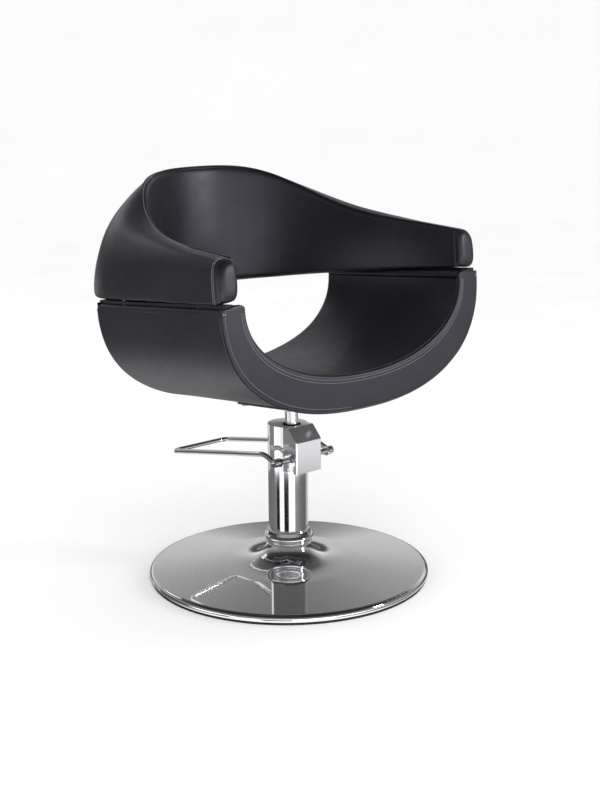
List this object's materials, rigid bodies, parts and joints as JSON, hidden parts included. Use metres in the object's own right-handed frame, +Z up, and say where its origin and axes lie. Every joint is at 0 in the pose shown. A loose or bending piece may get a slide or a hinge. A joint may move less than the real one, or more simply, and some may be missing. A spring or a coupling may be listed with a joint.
{
  "type": "styling chair",
  "caption": "Salon styling chair: a leaning upholstered tub seat with a horseshoe back band, on a hydraulic column with a foot lever loop and a round chromed base.",
  "frame": {"origin": "the floor at the centre of the round base", "axes": "+Z up, -Y towards the front of the seat, +X to the sitter's left"},
  "size_m": [0.6876, 0.6271, 0.8547],
  "materials": {
    "chrome": "polished",
    "ground_steel": "satin",
    "zinc_steel": "satin",
    "cast_iron": "matte",
    "black_paint": "satin",
    "rubber": "matte",
    "brass": "satin",
    "plywood": "matte",
    "leather": "satin"
  },
  "bodies": {
    "base": {"base_disc": "chrome", "floor_ring": "rubber", "ballast_plate": "black_paint", "pump_foot": "cast_iron", "foot_bolts": "zinc_steel", "collar": "chrome", "column_cover": "chrome", "reservoir_tube": "zinc_steel", "cylinder_tube": "zinc_steel", "cylinder_plug": "zinc_steel", "suction_tube": "zinc_steel", "oil_strainer": "brass", "pump_head": "chrome", "head_gasket": "rubber", "gland_bush": "brass", "wiper_seal": "rubber", "filler_screw": "zinc_steel"},
    "lever": {"foot_lever": "chrome", "cross_shaft": "chrome", "lever_nuts": "chrome", "shaft_collars": "zinc_steel", "collar_screws": "zinc_steel", "pump_cam": "zinc_steel"},
    "plunger": {"plunger": "zinc_steel", "plunger_spring": "zinc_steel"},
    "lift": {"piston": "zinc_steel", "piston_seal": "rubber"},
    "seat": {"ram": "ground_steel", "piston_circlip": "zinc_steel", "seat_socket": "black_paint", "mounting_plate": "black_paint", "plate_bolts": "zinc_steel", "tee_nuts": "zinc_steel", "seat_shell": "plywood", "seat_cover": "leather", "seat_pad": "leather", "front_facing": "leather", "rear_facing": "leather", "arm_top_pads": "leather", "back_frame": "plywood", "back_inner_pad": "leather", "back_outer_pad": "leather", "arm_caps": "leather", "arm_spacers": "rubber", "arm_bolts": "zinc_steel"}
  },
  "joints": [
    {"name": "seat_lift", "type": "slide", "parent": "base", "child": "lift", "axis": [0, 0, 1], "range_m": [-0.028, 0.115]},
    {"name": "seat_swivel", "type": "hinge", "parent": "lift", "child": "seat", "pos_m": [0, -0.0125, 0.4], "axis": [0, 0, 1], "continuous": true},
    {"name": "foot_lever_pivot", "type": "hinge", "parent": "base", "child": "lever", "pos_m": [0, -0.047, 0.2705], "axis": [-1, 0, 0], "range_deg": [0, 22], "stiffness_Nm_per_rad": 8, "springref_deg": -28.65},
    {"name": "plunger_slide", "type": "slide", "parent": "base", "child": "plunger", "axis": [0, 0, 1], "range_m": [0, 0.003], "deforming": ["plunger_spring"]}
  ],
  "couplings": [
    {"joint": "plunger_slide", "follows": "foot_lever_pivot", "m_per_rad": 0.0075}
  ]
}
